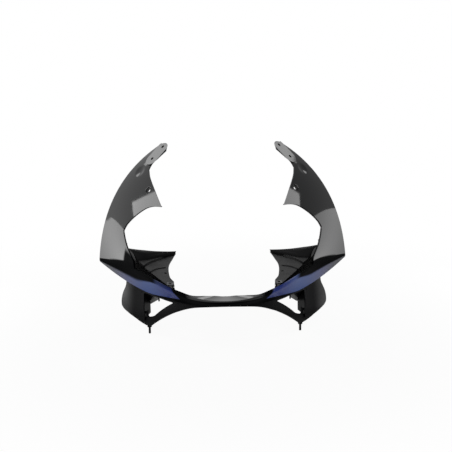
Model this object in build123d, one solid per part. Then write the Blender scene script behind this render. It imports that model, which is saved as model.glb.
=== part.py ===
"""Upper front fairing of a sport motorcycle.

A painted upper cowl carries the two swept-back arms, the horns beside the windscreen, the mirror
pads, the spear-shaped cheeks under the headlight window and the small ledge between them. Below
it a black lower cowl frames two air intakes, and two sloping inner panels sit behind the spears.
X runs across, Y runs back from the chin and Z runs up, from the middle of the overall box.
"""
from build123d import *
import os
from math import cos, radians, sin

os.makedirs("parts", exist_ok=True)

# Overall sizes in millimetres
HALF_WIDTH = 260.0        # centre plane to the tail of the spear
DEPTH = 320.0             # front of the chin to the back of the mirror pad
RISE = 260.0              # crease to the top of the mirror pad
SIGHT_LEAN = 14.0         # degrees by which the headlight axis points down

# Walls and clearances
COWL_WALL = 2.5
LOWER_WALL = 2.5
DUCT_WALL = 2.2
PANEL_WALL = 2.5
SCREW_GAP = 0.15          # all round a screw in its hole

# Mirror pad
MIRROR_BOLT_SPACING = 34.0
MIRROR_BOLT_HOLE = 7.0
MIRROR_PAD_WIDTH = 34.0
MIRROR_PAD_LENGTH = 66.0
MIRROR_PAD_DEPTH = 5.0    # thickness of the solid pad under its flat face
MIRROR_PAD_PROUD = 1.2    # flat face above the skin at the middle of the pad

# Windscreen screw
SCREEN_HOLE = 7.0
SCREEN_BOSS = 19.0
SCREEN_BOSS_DEPTH = 6.0
SCREEN_RECESS = 13.0
SCREEN_RECESS_DEPTH = 2.0

# Return flange behind the outer end of the headlight window
FLANGE_DEPTH = 8.0
FLANGE_WALL = 2.0

# Finger dish below the mirror pad
DISH_WIDTH = 26.0
DISH_DEPTH = 2.2

# Lower cowl
INTAKE_CORNER = 4.0
DUCT_RUN = 48.0           # how far the intake walls run back
DUCT_INSET = 13.0         # how far the outer wall leans in over that run
DUCT_DROP = 26.0          # how far the roof falls over that run
PEG_DIAMETER = 4.5
PEG_LENGTH = 20.0
PEG_COLLAR = 9.0
PEG_COLLAR_LENGTH = 13.0

HOOK_WIDTH = 3.0          # hook that hangs from the duct's roof
HOOK_DROP = 11.0
HOOK_BACK = 6.0           # hook behind the skin
DUCT_LUG = 6.0            # round lug on the duct's outer wall
DUCT_LUG_LENGTH = 7.0
DUCT_LUG_BACK = 10.0      # lug behind the skin

# Inner panel
PANEL_INSET = 12.0        # front edge behind the crease
PANEL_SKIRT = 22.0        # depth of the skirt under its front edge
SKIRT_INSET = 3.0         # skirt behind the front edge
PANEL_BANK = 16.0         # height of the rolled bank at its outer end
BANK_TIP = 5.0            # height of the bank at the tip
PANEL_STEP = 3.0          # height of the step in front of the bank
PANEL_BEAD = 1.6          # height and width of the bead in front of the step
PANEL_HOLE = 5.0

# Screws, the posts they bite into and the lugs they hold
SCREW_SHANK = 3.9
SCREW_HEAD = 8.0
SCREW_HEAD_HEIGHT = 2.6
POST_DIAMETER = 9.0
POST_ROOT = 1.2           # how far a post is rooted in the wall
LUG_WIDTH = 14.0
LUG_WALL = 2.5
PANEL_LUG_DROP = 30.0     # how far the panel's lugs would reach down, cut off inside the plate
LOWER_LUG_DROP = 16.0     # how far the lower cowl's lugs reach down into its wall
PANEL_STANDOFF = 14.0     # arm wall to the panel's lugs
LOWER_STANDOFF = 4.0      # spear wall to the lower cowl's lugs

# Spring nut on the panel's front corner
CLIP_LENGTH = 14.0
CLIP_WIDTH = 12.0
CLIP_STRIP = 0.8
CLIP_GAP = 0.1
CLIP_BARREL = 7.5
CLIP_BARREL_HEIGHT = 4.0
CLIP_HOLE = 5.0

# Rails of the painted skin, in percent of half width, depth and rise, from the centre to the tail
CREASE = ((0, 0.6, 0.4), (39.6, 0.6, 0.4), (57.3, 47.5, 5.4), (100, 85.3, 4.6))
SPEAR_EDGE = ((0, 1.9, -1.9), (30.4, 1.9, -1.9), (60.4, 51.9, -17.3), (99.2, 85, 3.5))
ARM_CROWN = ((0, 9.7, 0), (30.8, 9.7, 0), (95.4, 54.4, 28.1), (93.5, 93.8, 72.3))
ARM_TOP = ((0, 18.8, 0), (11.5, 18.8, 0), (15, 61.6, 118.5), (40.4, 100.6, 100))
ROLL_DOWN = 0.25          # share of the spear taken by the rolled crease
ROLL_UP = 0.06            # share of the arm taken by the rolled crease

# Rails of the lower cowl, in the same percent, from its tucked top edge down
LOWER_TOP = ((0, 2.4, -1.2), (30.4, 2.4, -1.2), (60, 52.8, -14.6), (98.5, 86, 5.4))
LOWER_TUCK = ((0, 2.4, -4.2), (30.4, 2.4, -4.2), (60.4, 53, -24), (98.7, 86, -1.5))
LOWER_BELLY = ((0, 1.8, -5.4), (36.5, 1.8, -5.4), (72.7, 43.6, -44.6), (125.8, 64.7, -14.2))
LOWER_KEEL = ((0, 3.8, -10), (32.7, 3.8, -10), (65.4, 50, -66), (98, 84.4, -37))

# Corners that set the inner panel's plane, in the same percent
PANEL_FRONT = (39, 33, 3)
PANEL_TIP = (37.8, 78.1, 12.5)
PANEL_REAR = (77.2, 78.1, 16.5)

# Places on the inner panel in plan, in percent of half width and depth
CLIP_EDGE = (38.5, 30.5)  # middle of the edge that the spring nut grips
PANEL_HOLE_PLACE = (45.2, 44.8)

# Places on a skin as shares: along it from the centre to the tail, and across its rails
MIRROR_PAD_PLACE = (0.925, 0.858)
SCREEN_PLACE = (0.786, 0.685)
DISH_PLACE = (0.925, 0.695)
PEG_PLACE = (0.57, 0.82)
PANEL_POST = (0.845, 0.15)
LOWER_POSTS = ((0.46, 0.5), (0.68, 0.5))
HOOK_PLACE = (0.535, 0.13)
DUCT_LUG_PLACE = (0.602, 0.6)

# Outer end of the headlight window as shares of the arm, up its jamb and in along its brow
JAMB = ((0.7, 0.05), (0.7, 0.14), (0.757, 0.219), (0.812, 0.31))
BROW = ((0.812, 0.31), (0.799, 0.381), (0.734, 0.591), (0.704, 0.654), (0.661, 0.715))


def station(x, y, z):
    """Point in millimetres from percent of half width, depth and rise."""
    return Vector(x * HALF_WIDTH, y * DEPTH, z * RISE) / 100


def rail(stations):
    """Control points of one rail."""
    return [station(*place) for place in stations]


def between(first, second, share):
    """Rail lying at a share of the way from one rail to another."""
    return [a + (b - a) * share for a, b in zip(first, second)]


def along(points, share):
    """Point at a share of a Bezier curve."""
    while len(points) > 1:
        points = [a + (b - a) * share for a, b in zip(points, points[1:])]
    return points[0]


def on_skin(rows, u, w):
    """Point of a skin at share u from the centre to the tail and w across its rows."""
    return along([along(row, u) for row in rows], w)


def outward(rows, u, w, step=0.001):
    """Unit normal of a skin, pointing forward out of the fairing."""
    run = on_skin(rows, u + step, w) - on_skin(rows, u - step, w)
    climb = on_skin(rows, u, w + step) - on_skin(rows, u, w - step)
    normal = run.cross(climb).normalized()
    return normal if normal.Y < 0 else -normal


def both_sides(half):
    """A half joined with its mirror image across the centre plane."""
    return half + mirror(half, about=Plane.YZ)


crease = rail(CREASE)
spear_edge = rail(SPEAR_EDGE)
arm_crown = rail(ARM_CROWN)
roll_low = between(crease, spear_edge, ROLL_DOWN)
roll_high = between(crease, arm_crown, ROLL_UP)
SPEAR = [spear_edge, roll_low]
ROLL = [roll_low, crease, roll_high]
ARM = [roll_high, arm_crown, rail(ARM_TOP)]
LOWER = [rail(LOWER_TOP), rail(LOWER_TUCK), rail(LOWER_BELLY), rail(LOWER_KEEL)]

# Openings are drawn on a plane square to the headlight axis and cut along that axis
SIGHT = Plane(
    origin=(0, 0, 0),
    x_dir=(1, 0, 0),
    z_dir=(0, -cos(radians(SIGHT_LEAN)), sin(radians(SIGHT_LEAN))),
)
HANGING = (Align.CENTER, Align.CENTER, Align.MAX)
REACH = 2 * DEPTH
PAST_CENTRE = HALF_WIDTH / 10


def seen(rows, *shares):
    """Skin points, given as (along, across) shares, drawn on the sight plane."""
    points = [SIGHT.to_local_coords(on_skin(rows, u, w)) for u, w in shares]
    return [(point.X, point.Y) for point in points]


def sight_cut(outline):
    """Prism along the headlight axis through an outline on the sight plane."""
    return extrude(SIGHT * outline, REACH, both=True)


def fixing_plane(rows, place, standoff):
    """Plane at a post's end, x level and z pointing inwards off the skin."""
    inward = -outward(rows, *place)
    level = Vector(0, 0, 1).cross(inward)
    return Plane(origin=on_skin(rows, *place) + inward * standoff, x_dir=level, z_dir=inward)


def post(plane, standoff):
    """Moulded post from the wall to its end plane, with a blind hole for the screw."""
    body = extrude(plane * Circle(POST_DIAMETER / 2), -(standoff + POST_ROOT))
    return body - extrude(plane * Circle(SCREW_SHANK / 2 + SCREW_GAP), -standoff)


def screw(plane, standoff):
    """Pan-head screw through a lug into its post."""
    seat = plane.offset(LUG_WALL)
    shank = extrude(seat * Circle(SCREW_SHANK / 2), -(LUG_WALL + standoff - SCREW_GAP))
    head = extrude(seat * Circle(SCREW_HEAD / 2), SCREW_HEAD_HEIGHT)
    crown = head.faces().sort_by(Axis(seat.origin, seat.z_dir))[-1]
    return shank + chamfer(crown.edges(), SCREW_HEAD_HEIGHT / 3)


def lug(plane, below, above):
    """Flat lug on a post's end, from below to above the screw, with the screw's hole."""
    height = below + above
    slab = plane * Pos(0, (above - below) / 2) * Rectangle(LUG_WIDTH, height)
    body = extrude(slab, LUG_WALL)
    return body - extrude(plane * Circle(SCREW_SHANK / 2 + SCREW_GAP), LUG_WALL)


panel_fixing = fixing_plane(ARM, PANEL_POST, PANEL_STANDOFF)
lower_fixings = [fixing_plane(SPEAR, place, LOWER_STANDOFF) for place in LOWER_POSTS]


def window_outline():
    """Headlight and windscreen opening on one side, out past the mirror pad."""
    sill = seen(ARM, (0, 0.56), (0.07, 0.48), (0.14, 0.29), (0.23, 0.09), (0.32, 0.1), (0.54, 0.07), (0.7, 0.05))
    jamb = seen(ARM, *JAMB)
    brow = seen(ARM, *BROW)
    screen = seen(ARM, (0.661, 0.715), (0.735, 0.722), (0.835, 0.735), (0.879, 0.753))
    pad = seen(ARM, (0.879, 0.753), (0.892, 0.788), (0.891, 0.843), (0.893, 0.903))
    tip = seen(ARM, (0.893, 0.903), (0.941, 0.938), (1, 0.93))
    start = (-sill[1][0], sill[1][1])
    over = (tip[-1][0] + PAST_CENTRE, tip[-1][1] + RISE / 5)
    return make_face([
        Spline(start, *sill),
        Spline(*jamb),
        Spline(*brow),
        Spline(*screen),
        Spline(*pad),
        Spline(*tip),
        Polyline(tip[-1], over, (start[0], over[1]), start),
    ])


def beside(points, distance):
    """A line's points moved to its right by a distance."""
    moved = []
    for index, (x, y) in enumerate(points):
        first, last = points[max(index - 1, 0)], points[min(index + 1, len(points) - 1)]
        run = Vector(last[0] - first[0], last[1] - first[1]).normalized()
        moved.append((x + run.Y * distance, y - run.X * distance))
    return moved


def flange():
    """Return flange along the outer end of the headlight window, rooted in the arm's wall."""
    skin = Face.make_bezier_surface(ARM)
    depth = Solid.thicken(skin, FLANGE_DEPTH) + Solid.thicken(skin, -COWL_WALL / 2)
    jamb, brow = seen(ARM, *JAMB), seen(ARM, *BROW)
    jamb_back, brow_back = beside(jamb, FLANGE_WALL), beside(brow, FLANGE_WALL)
    band = make_face([
        Spline(*jamb),
        Spline(*brow),
        Line(brow[-1], brow_back[-1]),
        Spline(*reversed(brow_back)),
        Line(brow_back[0], jamb_back[-1]),
        Spline(*reversed(jamb_back)),
        Line(jamb_back[0], jamb[0]),
    ])
    return depth & sight_cut(band)


def dish():
    """Thickened patch of the arm's wall below the mirror pad, and the ball that hollows it."""
    axis = outward(ARM, *DISH_PLACE)
    top = Plane(origin=on_skin(ARM, *DISH_PLACE) + axis * COWL_WALL, z_dir=axis)
    radius = (DISH_WIDTH**2 / 4 + DISH_DEPTH**2) / (2 * DISH_DEPTH)
    middle = top * Pos(0, 0, radius - DISH_DEPTH) * Rot(90, 0, 0)
    patch = extrude(top.offset(-COWL_WALL / 2) * Circle(DISH_WIDTH / 2), -COWL_WALL - DISH_DEPTH)
    return patch & middle * Sphere(radius + COWL_WALL), middle * Sphere(radius)


def mirror_pad_plane():
    """Plane of the flat mirror pad, x along the line of its two bolts."""
    normal = outward(ARM, *MIRROR_PAD_PLACE)
    face = on_skin(ARM, *MIRROR_PAD_PLACE) + normal * (COWL_WALL + MIRROR_PAD_PROUD)
    u, w = MIRROR_PAD_PLACE
    run = on_skin(ARM, u + 0.009, w + 0.045) - on_skin(ARM, u - 0.009, w - 0.045)
    return Plane(origin=face, x_dir=run - normal * run.dot(normal), z_dir=normal)


def upper_cowl():
    """Painted moulding: spears, rolled crease, ledge, arms, horns, mirror pads and posts."""
    skin = Shell([Face.make_bezier_surface(rows) for rows in (SPEAR, ROLL, ARM)])
    half = Solid.thicken(skin, -COWL_WALL)

    half += flange()
    patch, ball = dish()
    half += patch
    half -= ball
    pad = mirror_pad_plane()
    half += extrude(pad * SlotOverall(MIRROR_PAD_LENGTH, MIRROR_PAD_WIDTH), -MIRROR_PAD_DEPTH)
    half -= sight_cut(window_outline())
    for side in (-1, 1):
        spot = pad * Pos(side * MIRROR_BOLT_SPACING / 2, 0)
        half -= spot * Cylinder(MIRROR_BOLT_HOLE / 2, 4 * MIRROR_PAD_DEPTH)

    axis = outward(ARM, *SCREEN_PLACE)
    boss = Plane(origin=on_skin(ARM, *SCREEN_PLACE) + axis * COWL_WALL, z_dir=axis)
    half += extrude(boss * Circle(SCREEN_BOSS / 2), -SCREEN_BOSS_DEPTH)
    half -= extrude(boss * Circle(SCREEN_RECESS / 2), SCREEN_RECESS_DEPTH, both=True)
    half -= extrude(boss * Circle(SCREEN_HOLE / 2), 2 * SCREEN_BOSS_DEPTH, both=True)

    half += post(panel_fixing, PANEL_STANDOFF)
    for plane in lower_fixings:
        half += post(plane, LOWER_STANDOFF)
    return both_sides(half)


def lower_outline():
    """Chin, strut and cheek as seen along the headlight axis, on one side."""
    chin = seen(LOWER, (0, 0.316), (0.12, 0.32), (0.249, 0.348), (0.375, 0.523))
    strut = seen(LOWER, (0.375, 0.523), (0.498, 0.76), (0.557, 0.866))
    belly = seen(LOWER, (0.557, 0.866), (0.658, 0.697), (0.746, 0.592))
    cheek = seen(LOWER, (0.746, 0.592), (0.766, 0.543), (0.786, 0.376), (0.792, 0.206))
    start = (-chin[1][0], chin[1][1])
    over = (cheek[-1][0] - HALF_WIDTH / 50, RISE / 3)
    return make_face([
        Spline(start, *chin),
        Polyline(*strut),
        Polyline(*belly),
        Spline(*cheek),
        Polyline(cheek[-1], over, (start[0], over[1]), start),
    ])


def intake_outline():
    """Air intake on one side, from its nose round by the top."""
    corners = seen(LOWER, (0.412, 0.2), (0.527, 0.155), (0.654, 0.165), (0.588, 0.66), (0.52, 0.62))
    face = make_face(Polyline(*corners, close=True))
    return fillet(face.vertices(), INTAKE_CORNER)


def duct_wall(first, second, run, ahead):
    """Flat wall along the run from a line on the intake's rim, started a share of the run ahead."""
    start = run * ahead
    corners = [first - start, second - start, second + run, first + run]
    return Solid.thicken(Face(Wire.make_polygon(corners, close=True)), DUCT_WALL)


def duct_walls(skin):
    """Outer wall and falling roof behind the intake, rooted in the lower cowl's wall."""
    top_corner = on_skin(LOWER, 0.668, 0.15)
    outer_run = Vector(-DUCT_INSET, DUCT_RUN, 0)
    roof_run = Vector(-DUCT_INSET, DUCT_RUN, -DUCT_DROP)
    outer = duct_wall(top_corner, on_skin(LOWER, 0.602, 0.68), outer_run, 0.4)
    roof = duct_wall(on_skin(LOWER, 0.535, 0.13), top_corner, roof_run, 0.08)
    ahead = Solid.thicken(skin, DUCT_RUN) + Solid.thicken(skin, -LOWER_WALL / 2)
    return [outer - ahead, roof - ahead]


def lower_cowl():
    """Black moulding: chin, bars round the intakes, cheeks, duct walls, lugs and pegs."""
    skin = Face.make_bezier_surface(LOWER)
    half = Solid.thicken(skin, -LOWER_WALL) & sight_cut(lower_outline())
    half -= sight_cut(intake_outline())
    for wall in duct_walls(skin):
        half += wall
    hook = on_skin(LOWER, *HOOK_PLACE) + Vector(0, HOOK_BACK, 0)
    half += Pos(hook) * Box(HOOK_WIDTH, DUCT_WALL, HOOK_DROP, align=HANGING)
    stub = Plane(origin=on_skin(LOWER, *DUCT_LUG_PLACE) + Vector(0, DUCT_LUG_BACK, 0), z_dir=(-1, 0, 0))
    half += extrude(stub * Circle(DUCT_LUG / 2), DUCT_LUG_LENGTH)
    for plane in lower_fixings:
        half += lug(plane, LOWER_LUG_DROP, LUG_WIDTH * 0.4)
    root = on_skin(LOWER, *PEG_PLACE) - outward(LOWER, *PEG_PLACE) * PEG_COLLAR / 2
    half += Pos(root) * Cylinder(PEG_DIAMETER / 2, PEG_LENGTH, align=HANGING)
    half += Pos(root) * Cylinder(PEG_COLLAR / 2, PEG_COLLAR_LENGTH)
    return both_sides(half)


panel_corners = [station(*place) for place in (PANEL_FRONT, PANEL_REAR, PANEL_TIP)]
panel_normal = (panel_corners[1] - panel_corners[0]).cross(panel_corners[2] - panel_corners[0])
PANEL = Plane(origin=panel_corners[0], x_dir=panel_corners[1] - panel_corners[2], z_dir=panel_normal)


def on_panel(x, y):
    """Place on the panel's plane straight above or below a point of the plan."""
    offset = Vector(x, y, 0) - PANEL.origin
    fall = (offset.X * PANEL.z_dir.X + offset.Y * PANEL.z_dir.Y) / PANEL.z_dir.Z
    place = PANEL.to_local_coords(Vector(x, y, PANEL.origin.Z - fall))
    return (place.X, place.Y)


def panel_percent(*places):
    """Places on the panel's plane from percent of half width and depth."""
    return [on_panel(x * HALF_WIDTH / 100, y * DEPTH / 100) for x, y in places]


def behind_crease(shares, inset):
    """Places on the panel's plane at an inset behind the crease, seen in plan."""
    step = 0.001
    places = []
    for share in shares:
        run = along(crease, share + step) - along(crease, share - step)
        spot = along(crease, share) + Vector(-run.Y, run.X, 0).normalized() * inset
        places.append(on_panel(spot.X, spot.Y))
    return places


def panel_row(heights, *places):
    """Control points over the panel's plane, from heights and percent of half width and depth."""
    return [PANEL.from_local_coords((*place, height)) for place, height in zip(panel_percent(*places), heights)]


def bank():
    """Rolled bank along the back of the panel, low at its tip."""
    middle = (PANEL_BANK + BANK_TIP) / 2
    foot = panel_row([PANEL_WALL / 3] * 4, (68.5, 58.6), (62, 56.8), (53, 63.9), (38.4, 72.6))
    crest = [PANEL_WALL + height for height in (PANEL_BANK, PANEL_BANK, middle, BANK_TIP)]
    knee = panel_row(crest, (71, 61.2), (63, 58), (53, 64.6), (38.2, 72.9))
    brim = panel_row(crest, (75.5, 66), (64.6, 64.4), (50, 67.8), (37.8, 74.4))
    return Solid.thicken(Face.make_bezier_surface([foot, knee, brim]), PANEL_WALL)


def panel_run(points, index):
    """Direction from one outline point to the next."""
    first, second = points[index], points[index + 1]
    return (second[0] - first[0], second[1] - first[1])


def inner_panel():
    """Right inner panel: sloping plate with a rolled bank, a step, a bead, a front skirt and a lug."""
    edge = panel_percent(CLIP_EDGE)[0]
    back_of_clip = (edge[0], edge[1] + CLIP_WIDTH)
    front_of_clip = (edge[0], edge[1] - CLIP_WIDTH)
    inner = [*panel_percent((38, 74.6), (40.1, 67.2), (42.9, 55.1), (41.6, 40)), back_of_clip]
    front = behind_crease((0.42, 0.5, 0.6, 0.7, 0.8, 0.9), PANEL_INSET)
    outline = make_face([
        Spline(*inner, tangents=(panel_run(inner, 0), (0, -1))),
        Polyline(back_of_clip, front_of_clip, front[0]),
        Spline(*front),
        Line(front[-1], inner[0]),
    ])
    body = extrude(PANEL * outline, PANEL_WALL)
    top = PANEL.offset(PANEL_WALL)

    body += bank()
    step = panel_percent((62.5, 49.5), (60, 54), (55.1, 59.7), (47, 65.5), (54, 66.5), (67, 60.5), (67.5, 56))
    body += extrude(top * make_face(Polyline(*step, close=True)), PANEL_STEP, taper=20)
    bead = trace(Spline(*panel_percent((57, 44.5), (52.2, 49.4), (45.5, 52.5))), PANEL_BEAD)
    body += extrude(top * bead, PANEL_BEAD)

    stops = (0.54, 0.62, 0.7, 0.8, 0.87)
    ahead = behind_crease(stops, PANEL_INSET + SKIRT_INSET)
    behind = behind_crease(stops, PANEL_INSET + SKIRT_INSET + PANEL_WALL)
    skirt = make_face([
        Spline(*ahead),
        Line(ahead[-1], behind[-1]),
        Spline(*reversed(behind)),
        Line(behind[0], ahead[0]),
    ])
    body += extrude(PANEL.offset(PANEL_WALL / 2) * skirt, -PANEL_SKIRT)

    under = extrude(PANEL.offset(PANEL_WALL / 2) * Rectangle(2 * REACH, 2 * REACH), -REACH)
    body += lug(panel_fixing, PANEL_LUG_DROP, LUG_WIDTH / 2) - under
    hole = panel_percent(PANEL_HOLE_PLACE)[0]
    body -= PANEL * Pos(*hole) * Cylinder(PANEL_HOLE / 2, 4 * PANEL_BANK)
    body -= PANEL * Pos(edge[0] + CLIP_LENGTH / 2, edge[1]) * Cylinder(CLIP_HOLE / 2, 4 * PANEL_BANK)
    return body


def clip_nut():
    """Right spring nut: folded strip over the panel's edge with a threaded barrel under it."""
    edge = panel_percent(CLIP_EDGE)[0]
    place = (edge[0] + CLIP_LENGTH / 2, edge[1])
    inside = PANEL_WALL + 2 * CLIP_GAP
    outside = inside + 2 * CLIP_STRIP
    middle = PANEL.offset(PANEL_WALL / 2)
    fold = Pos(edge[0] - CLIP_STRIP, edge[1])
    start = (Align.MIN, Align.CENTER, Align.CENTER)
    strip = fold * Box(CLIP_LENGTH, CLIP_WIDTH, outside, align=start)
    slot = fold * Pos(CLIP_STRIP - CLIP_GAP, 0) * Box(CLIP_LENGTH, 2 * CLIP_WIDTH, inside, align=start)
    barrel = Pos(*place, -outside / 2) * Cylinder(
        CLIP_BARREL / 2, CLIP_BARREL_HEIGHT, align=(Align.CENTER, Align.CENTER, Align.MAX))
    clip = strip - slot + barrel
    clip -= Pos(*place) * Cylinder(CLIP_HOLE / 2, 4 * CLIP_BARREL_HEIGHT)
    return middle * clip


def pair(solid):
    """A solid and its mirror image as a group of two."""
    return [solid, mirror(solid, about=Plane.YZ)]


def build():
    """Solids of every node, by name."""
    panel = inner_panel()
    lower_screws = [screw(plane, LOWER_STANDOFF) for plane in lower_fixings]
    return {
        "upper_cowl": upper_cowl(),
        "lower_cowl": lower_cowl(),
        "right_inner_panel": panel,
        "left_inner_panel": mirror(panel, about=Plane.YZ),
        "clip_nuts": Compound(pair(clip_nut())),
        "panel_screws": Compound(pair(screw(panel_fixing, PANEL_STANDOFF))),
        "lower_screws": Compound([part for one in lower_screws for part in pair(one)]),
    }


nodes = build()
middle = Compound([*nodes.values()]).bounding_box().center()
for name, node in nodes.items():
    export_step(Pos(-middle) * node, f"parts/{name}.step")
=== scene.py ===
"""Dressed model of a sport motorcycle's upper front fairing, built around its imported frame.

The painted cowl, the black lower cowl and the two inner panels are smooth skins over the same rails
and outlines as the solids, given their walls, rounded rims, holes, pads, flanges and bosses. The
script reads nothing but the frame, and all places are in metres in the frame's own axes: X across,
Y back and Z up.
"""
import logging
import math
from dataclasses import dataclass
from enum import Enum
from typing import Any, Callable, Sequence

import bpy
from mathutils import Matrix, Quaternion, Vector


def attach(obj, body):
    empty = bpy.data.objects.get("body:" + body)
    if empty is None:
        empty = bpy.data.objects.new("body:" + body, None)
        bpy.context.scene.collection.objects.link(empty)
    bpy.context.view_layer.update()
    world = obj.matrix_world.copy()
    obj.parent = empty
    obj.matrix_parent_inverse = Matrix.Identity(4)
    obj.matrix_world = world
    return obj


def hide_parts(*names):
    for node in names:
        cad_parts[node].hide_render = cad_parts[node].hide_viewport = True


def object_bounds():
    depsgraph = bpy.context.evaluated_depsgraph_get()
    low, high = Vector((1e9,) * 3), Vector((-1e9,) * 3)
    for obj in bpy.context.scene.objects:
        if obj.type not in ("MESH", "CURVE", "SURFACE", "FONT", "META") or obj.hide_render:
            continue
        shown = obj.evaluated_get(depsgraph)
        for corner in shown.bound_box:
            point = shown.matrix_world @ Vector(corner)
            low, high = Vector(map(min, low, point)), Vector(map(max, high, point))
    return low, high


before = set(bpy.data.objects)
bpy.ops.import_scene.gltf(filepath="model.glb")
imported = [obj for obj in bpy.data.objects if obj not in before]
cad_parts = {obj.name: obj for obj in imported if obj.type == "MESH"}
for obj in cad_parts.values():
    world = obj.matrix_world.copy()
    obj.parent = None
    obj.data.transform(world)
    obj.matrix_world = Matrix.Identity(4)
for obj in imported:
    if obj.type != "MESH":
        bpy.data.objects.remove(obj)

LOG = logging.getLogger("fairing")
MM = 0.001
CAD_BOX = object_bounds()

Spot = tuple[float, float]
Rail = tuple[Vector, ...]
Line = Callable[[float], Vector]
Surface = Callable[[float, float], Vector]
Colour = tuple[float, float, float, float]
WHITE = (1.0, 1.0, 1.0, 1.0)

# Driving sizes of the skins, in millimetres, and the point of their axes that is the frame's origin
HALF_WIDTH, DEPTH, RISE = 260.0, 320.0, 260.0
FRAME_MIDDLE = Vector((0.0, 159.463, 78.4215)) * MM
UP = Vector((0.0, 0.0, 1.0))
SIGHT_LEAN = math.radians(14.0)
SIGHT_AXIS = Vector((0.0, -math.cos(SIGHT_LEAN), math.sin(SIGHT_LEAN)))
SIGHT_UP = Vector((0.0, math.sin(SIGHT_LEAN), math.cos(SIGHT_LEAN)))


def station(x: float, y: float, z: float) -> Vector:
    """Point in metres in the frame's axes, from percent of half width, depth and rise."""
    return Vector((x * HALF_WIDTH, y * DEPTH, z * RISE)) * MM / 100.0 - FRAME_MIDDLE


def rail(*stations: tuple[float, float, float]) -> Rail:
    """Control points of a rail, from stations in percent."""
    return tuple(station(*place) for place in stations)


def between(first: Rail, second: Rail, share: float) -> Rail:
    """Rail at a share of the way from one rail to another."""
    return tuple(a.lerp(b, share) for a, b in zip(first, second))


def along_curve(points: Sequence[Vector], share: float) -> Vector:
    """Point at a share of a Bezier curve.

    Args:
        points: Control points of the curve.
        share: Share from 0 to 1.

    Returns:
        The point.
    """
    while len(points) > 1:
        points = [a.lerp(b, share) for a, b in zip(points, points[1:])]
    return points[0]


def smooth_step(low: float, high: float, value: float) -> float:
    """Smooth step from 0 at low to 1 at high."""
    share = min(max((value - low) / (high - low), 0.0), 1.0)
    return share * share * (3.0 - 2.0 * share)


def gap_to(spot: Vector, line: Sequence[Vector]) -> float:
    """Distance in plan from a spot to a line of straight runs.

    Args:
        spot: The spot.
        line: Ends of the runs, in order.

    Returns:
        The distance in metres.
    """
    nearest = math.inf
    for first, second in zip(line, line[1:]):
        run = second - first
        share = min(max((spot - first).dot(run) / run.length_squared, 0.0), 1.0)
        nearest = min(nearest, (spot - first - run * share).length)
    return nearest


def within(spot: Vector, corners: Sequence[Vector]) -> bool:
    """Whether a spot lies inside a closed outline in plan.

    Args:
        spot: The spot.
        corners: Corners of the outline, in order.

    Returns:
        True inside.
    """
    inside = False
    for first, second in zip(corners, (*corners[1:], corners[0])):
        if (first.y > spot.y) != (second.y > spot.y):
            crossing = first.x + (spot.y - first.y) * (second.x - first.x) / (second.y - first.y)
            inside ^= spot.x < crossing
    return inside


@dataclass(frozen=True)
class Skin:
    """Bezier skin over one or more groups of rails, stacked edge to edge.

    Attributes:
        groups: Rails of each group, from the lowest group up.
        start: The across value at the lowest edge; each group adds one.
    """

    groups: tuple[tuple[Rail, ...], ...]
    start: float = 0.0

    def point(self, along: float, across: float) -> Vector:
        """Point at a place along the rails and across them.

        Args:
            along: Share of the rails' length.
            across: The across value, which grows by one over each group.

        Returns:
            The point.
        """
        index = min(max(int(math.floor(across - self.start)), 0), len(self.groups) - 1)
        share = across - self.start - index
        return along_curve([along_curve(row, along) for row in self.groups[index]], share)

    def normal(self, along: float, across: float, step: float = 0.001) -> Vector:
        """Unit normal that points forward, out of the fairing.

        Args:
            along: Share of the rails' length.
            across: The across value.
            step: Half the run over which the slope is taken.

        Returns:
            The normal.
        """
        run = self.point(along + step, across) - self.point(along - step, across)
        climb = self.point(along, across + step) - self.point(along, across - step)
        normal = run.cross(climb).normalized()
        return normal if normal.y < 0.0 else -normal


CREASE = rail((0, 0.6, 0.4), (39.6, 0.6, 0.4), (57.3, 47.5, 5.4), (100, 85.3, 4.6))
SPEAR_EDGE = rail((0, 1.9, -1.9), (30.4, 1.9, -1.9), (60.4, 51.9, -17.3), (99.2, 85, 3.5))
ARM_CROWN = rail((0, 9.7, 0), (30.8, 9.7, 0), (95.4, 54.4, 28.1), (93.5, 93.8, 72.3))
ARM_TOP = rail((0, 18.8, 0), (11.5, 18.8, 0), (15, 61.6, 118.5), (40.4, 100.6, 100))
ROLL_LOW = between(CREASE, SPEAR_EDGE, 0.25)
ROLL_HIGH = between(CREASE, ARM_CROWN, 0.06)
COWL_SKIN = Skin(
    ((SPEAR_EDGE, ROLL_LOW), (ROLL_LOW, CREASE, ROLL_HIGH), (ROLL_HIGH, ARM_CROWN, ARM_TOP)), start=-2.0
)
LOWER_SKIN = Skin((
    (
        rail((0, 2.4, -1.2), (30.4, 2.4, -1.2), (60, 52.8, -14.6), (98.5, 86, 5.4)),
        rail((0, 2.4, -4.2), (30.4, 2.4, -4.2), (60.4, 53, -24), (98.7, 86, -1.5)),
        rail((0, 1.8, -5.4), (36.5, 1.8, -5.4), (72.7, 43.6, -44.6), (125.8, 64.7, -14.2)),
        rail((0, 3.8, -10), (32.7, 3.8, -10), (65.4, 50, -66), (98, 84.4, -37)),
    ),
))


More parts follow.
